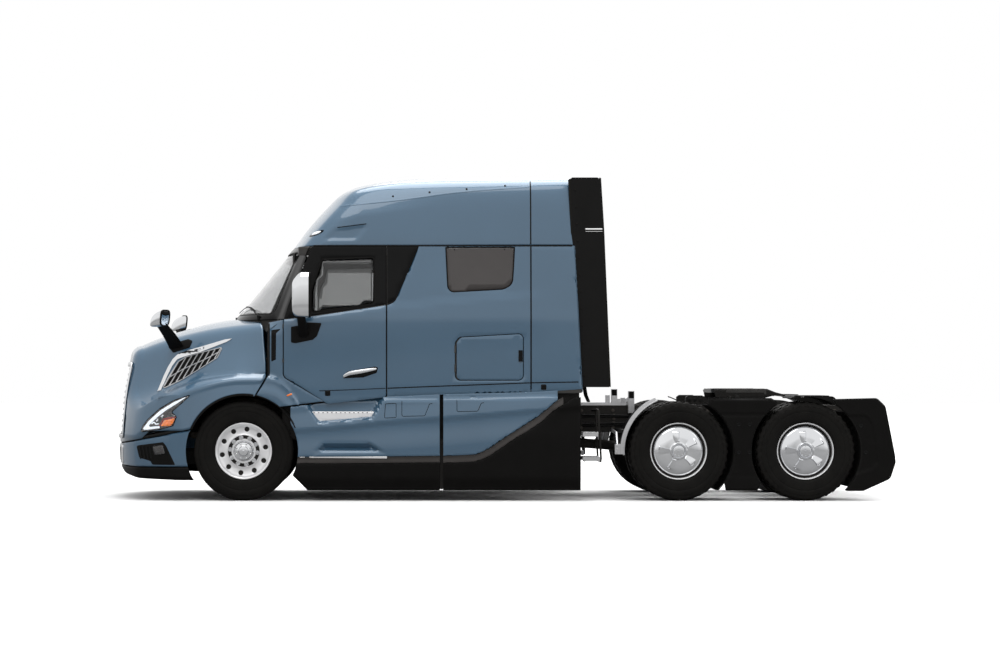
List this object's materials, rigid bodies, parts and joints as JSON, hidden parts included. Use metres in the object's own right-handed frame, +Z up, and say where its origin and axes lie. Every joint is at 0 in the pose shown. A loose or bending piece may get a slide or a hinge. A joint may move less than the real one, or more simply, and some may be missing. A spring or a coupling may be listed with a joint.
{
  "type": "semi truck tractor unit",
  "caption": "Three-axle conventional tractor unit with sleeper cab, tilting hood, hinged doors, steered front wheels and tilting fifth wheel.",
  "frame": {"origin": "on the ground, midway between nose and tail on the centreline", "axes": "+Z up, nose towards -X, left (driver's) side towards -Y"},
  "size_m": [8.1906, 2.94, 3.4349],
  "materials": {
    "paint": "metallic steel blue",
    "dark_chassis": "satin black",
    "black_plastic": "grained black",
    "chrome": "bright",
    "polished_aluminium": "polished",
    "satin_aluminium": "satin",
    "cast": "as cast, painted",
    "greased_steel": "dark, worn",
    "tyre": "matt",
    "clear_glass": "clear",
    "tinted_glass": "brown tint",
    "lamp": "clear lens",
    "trim": "soft grey",
    "upholstery": "woven"
  },
  "bodies": {
    "chassis": {"frame_rails": "dark_chassis", "crossmembers": "dark_chassis", "front_axle": "cast", "front_springs": "cast", "drive_axles": "cast", "rear_suspension": "cast", "drive_shafts": "cast", "engine_and_gearbox": "cast", "radiator": "dark_chassis", "fuel_tanks": "satin_aluminium", "front_bumper": "paint", "cab_floor": "dark_chassis", "cab_front": "paint", "cab_side_left": "paint", "cab_side_right": "paint", "cab_back": "paint", "roof_cap": "paint", "windshield": "clear_glass", "sleeper_windows": "tinted_glass", "side_extenders": "black_plastic", "front_skirts": "paint", "rear_skirts": "paint", "steps": "polished_aluminium", "fifth_wheel_base": "cast", "deck_plate": "satin_aluminium", "rear_fenders": "black_plastic", "seats": "upholstery", "bunk": "upholstery", "dashboard": "trim"},
    "hood": {"hood": "paint", "grille": "chrome", "headlamps": "lamp", "hood_mirrors": "chrome"},
    "door_left": {"door_left": "paint", "door_window_left": "clear_glass", "door_mirror_left": "chrome"},
    "luggage_door_left": {"luggage_door_left": "paint"},
    "door_right": {"door_right": "paint", "door_window_right": "clear_glass", "door_mirror_right": "chrome"},
    "luggage_door_right": {"luggage_door_right": "paint"},
    "knuckle_left": {"knuckle_left": "cast"},
    "knuckle_right": {"knuckle_right": "cast"},
    "tie_rod": {"tie_rod": "cast"},
    "steering_wheel": {"steering_wheel": "trim"},
    "fifth_wheel": {"fifth_wheel_plate": "greased_steel"},
    "wheel_front_left": {"tyre_front_left": "tyre", "rim_front_left": "polished_aluminium"},
    "wheel_front_right": {"tyre_front_right": "tyre", "rim_front_right": "polished_aluminium"},
    "wheels_forward_left": {"tyres_forward_left": "tyre", "rims_forward_left": "polished_aluminium"},
    "wheels_forward_right": {"tyres_forward_right": "tyre", "rims_forward_right": "polished_aluminium"},
    "wheels_rear_left": {"tyres_rear_left": "tyre", "rims_rear_left": "polished_aluminium"},
    "wheels_rear_right": {"tyres_rear_right": "tyre", "rims_rear_right": "polished_aluminium"}
  },
  "joints": [
    {"name": "hood_tilt", "type": "hinge", "parent": "chassis", "child": "hood", "pos_m": [-4.076, 0, 0.607], "axis": [0, -1, 0], "range_deg": [0, 60]},
    {"name": "door_left_hinge", "type": "hinge", "parent": "chassis", "child": "door_left", "pos_m": [-2.275, -1.192, 1.58], "axis": [0, 0, -1], "range_deg": [0, 70]},
    {"name": "luggage_door_left_hinge", "type": "hinge", "parent": "chassis", "child": "luggage_door_left", "pos_m": [-0.485, -1.192, 1.44], "axis": [0, 0, -1], "range_deg": [0, 100]},
    {"name": "door_right_hinge", "type": "hinge", "parent": "chassis", "child": "door_right", "pos_m": [-2.275, 1.192, 1.58], "axis": [0, 0, 1], "range_deg": [0, 70]},
    {"name": "luggage_door_right_hinge", "type": "hinge", "parent": "chassis", "child": "luggage_door_right", "pos_m": [-0.485, 1.192, 1.44], "axis": [0, 0, 1], "range_deg": [0, 100]},
    {"name": "steer_left", "type": "hinge", "parent": "chassis", "child": "knuckle_left", "pos_m": [-2.69, -0.88, 0.517], "axis": [0, 0, 1], "range_deg": [-35, 35]},
    {"name": "steer_right", "type": "hinge", "parent": "chassis", "child": "knuckle_right", "pos_m": [-2.69, 0.88, 0.517], "axis": [0, 0, 1], "range_deg": [-35, 35]},
    {"name": "tie_rod_turn", "type": "hinge", "parent": "knuckle_left", "child": "tie_rod", "pos_m": [-2.51, -0.88, 0.345], "axis": [0, 0, 1], "range_deg": [-35, 35]},
    {"name": "steering_wheel_turn", "type": "hinge", "parent": "chassis", "child": "steering_wheel", "pos_m": [-1.87, -0.56, 1.83], "axis": [0.5299, 0, 0.848], "range_deg": [-630, 630]},
    {"name": "fifth_wheel_tilt", "type": "hinge", "parent": "chassis", "child": "fifth_wheel", "pos_m": [2.56, 0, 1.078], "axis": [0, 1, 0], "range_deg": [-15, 8]},
    {"name": "spin_front_left", "type": "hinge", "parent": "knuckle_left", "child": "wheel_front_left", "pos_m": [-2.69, -1.058, 0.517], "axis": [0, 1, 0], "continuous": true},
    {"name": "spin_front_right", "type": "hinge", "parent": "knuckle_right", "child": "wheel_front_right", "pos_m": [-2.69, 1.058, 0.517], "axis": [0, 1, 0], "continuous": true},
    {"name": "spin_forward_left", "type": "hinge", "parent": "chassis", "child": "wheels_forward_left", "pos_m": [1.8435, -0.912, 0.517], "axis": [0, 1, 0], "continuous": true},
    {"name": "spin_forward_right", "type": "hinge", "parent": "chassis", "child": "wheels_forward_right", "pos_m": [1.8435, 0.912, 0.517], "axis": [0, 1, 0], "continuous": true},
    {"name": "spin_rear_left", "type": "hinge", "parent": "chassis", "child": "wheels_rear_left", "pos_m": [3.1645, -0.912, 0.517], "axis": [0, 1, 0], "continuous": true},
    {"name": "spin_rear_right", "type": "hinge", "parent": "chassis", "child": "wheels_rear_right", "pos_m": [3.1645, 0.912, 0.517], "axis": [0, 1, 0], "continuous": true}
  ],
  "couplings": [
    {"joint": "steer_right", "follows": "steer_left", "ratio": 1},
    {"joint": "tie_rod_turn", "follows": "steer_left", "ratio": -1},
    {"joint": "steering_wheel_turn", "follows": "steer_left", "ratio": 18}
  ]
}
